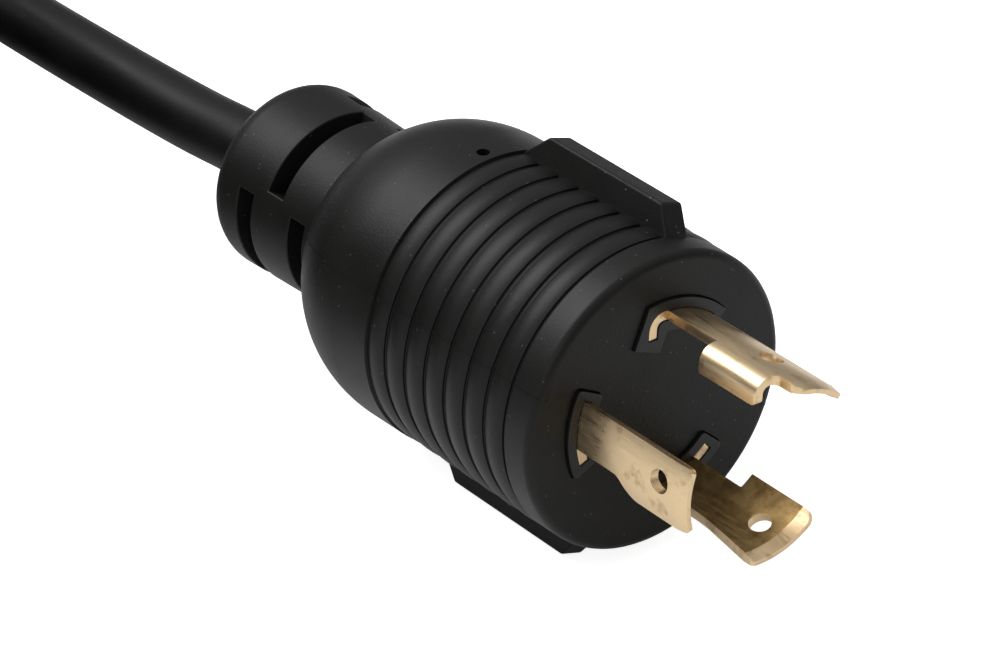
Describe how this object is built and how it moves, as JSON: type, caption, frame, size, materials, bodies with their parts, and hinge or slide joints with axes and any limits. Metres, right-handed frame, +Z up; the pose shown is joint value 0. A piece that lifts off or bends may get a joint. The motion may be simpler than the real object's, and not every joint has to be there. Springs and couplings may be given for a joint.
{
  "type": "shore power cord",
  "caption": "Shore power cord: ribbed locking plug with curved blades, round cord in a strapped coil, and a locking connector with a threaded ring.",
  "frame": {"origin": "on the floor, under the middle of the plug with its blades and strain relief", "axes": "+X along the plug's axis, the way its blades point; +Z up; +Y to the plug's left"},
  "size_m": [0.3849, 0.2351, 0.1148],
  "materials": {
    "moulded_pvc": "matte charcoal PVC with a fine moulded grain",
    "insulator": "matte rigid insulator",
    "brass": "drawn brass, worn at the edges",
    "copper": "stranded copper",
    "ground_core": "green insulation",
    "line_core": "black insulation",
    "neutral_core": "white insulation",
    "cord_jacket": "smooth satin PVC jacket",
    "strap_tape": "woven hook and loop tape",
    "gasket": "soft rubber",
    "ring_nylon": "moulded nylon",
    "washer_nylon": "natural nylon"
  },
  "bodies": {
    "root": {"plug_moulding": "moulded_pvc", "blade_carrier": "insulator", "plug_terminal_block": "insulator", "ground_blade": "brass", "line_blade": "brass", "neutral_blade": "brass", "connector_moulding": "moulded_pvc", "contact_insert": "insulator", "connector_terminal_block": "insulator", "ground_contact": "brass", "line_contact": "brass", "neutral_contact": "brass", "sealing_gasket": "gasket", "ring_retainer": "ring_nylon", "plug_strain_relief": "moulded_pvc", "plug_jacket_end": "cord_jacket", "plug_ground_conductor": "copper", "plug_ground_insulation": "ground_core", "plug_line_conductor": "copper", "plug_line_insulation": "line_core", "plug_neutral_conductor": "copper", "plug_neutral_insulation": "neutral_core", "connector_strain_relief": "moulded_pvc", "connector_jacket_end": "cord_jacket", "connector_ground_conductor": "copper", "connector_ground_insulation": "ground_core", "connector_line_conductor": "copper", "connector_line_insulation": "line_core", "connector_neutral_conductor": "copper", "connector_neutral_insulation": "neutral_core", "cord_free_run": "cord_jacket", "cord_tail": "cord_jacket", "cord_coil": "cord_jacket", "coil_strap_front": "strap_tape", "coil_strap_rear": "strap_tape"},
    "ring_carriage": {"slip_washer": "washer_nylon"},
    "ring": {"locking_ring": "ring_nylon"}
  },
  "joints": [
    {"name": "ring_slide", "type": "slide", "parent": "root", "child": "ring_carriage", "axis": [-1, 0, 0], "range_m": [0, 0.007]},
    {"name": "ring_spin", "type": "hinge", "parent": "ring_carriage", "child": "ring", "pos_m": [-0.134, -0.143, 0.0828], "axis": [1, 0, 0], "continuous": true}
  ]
}
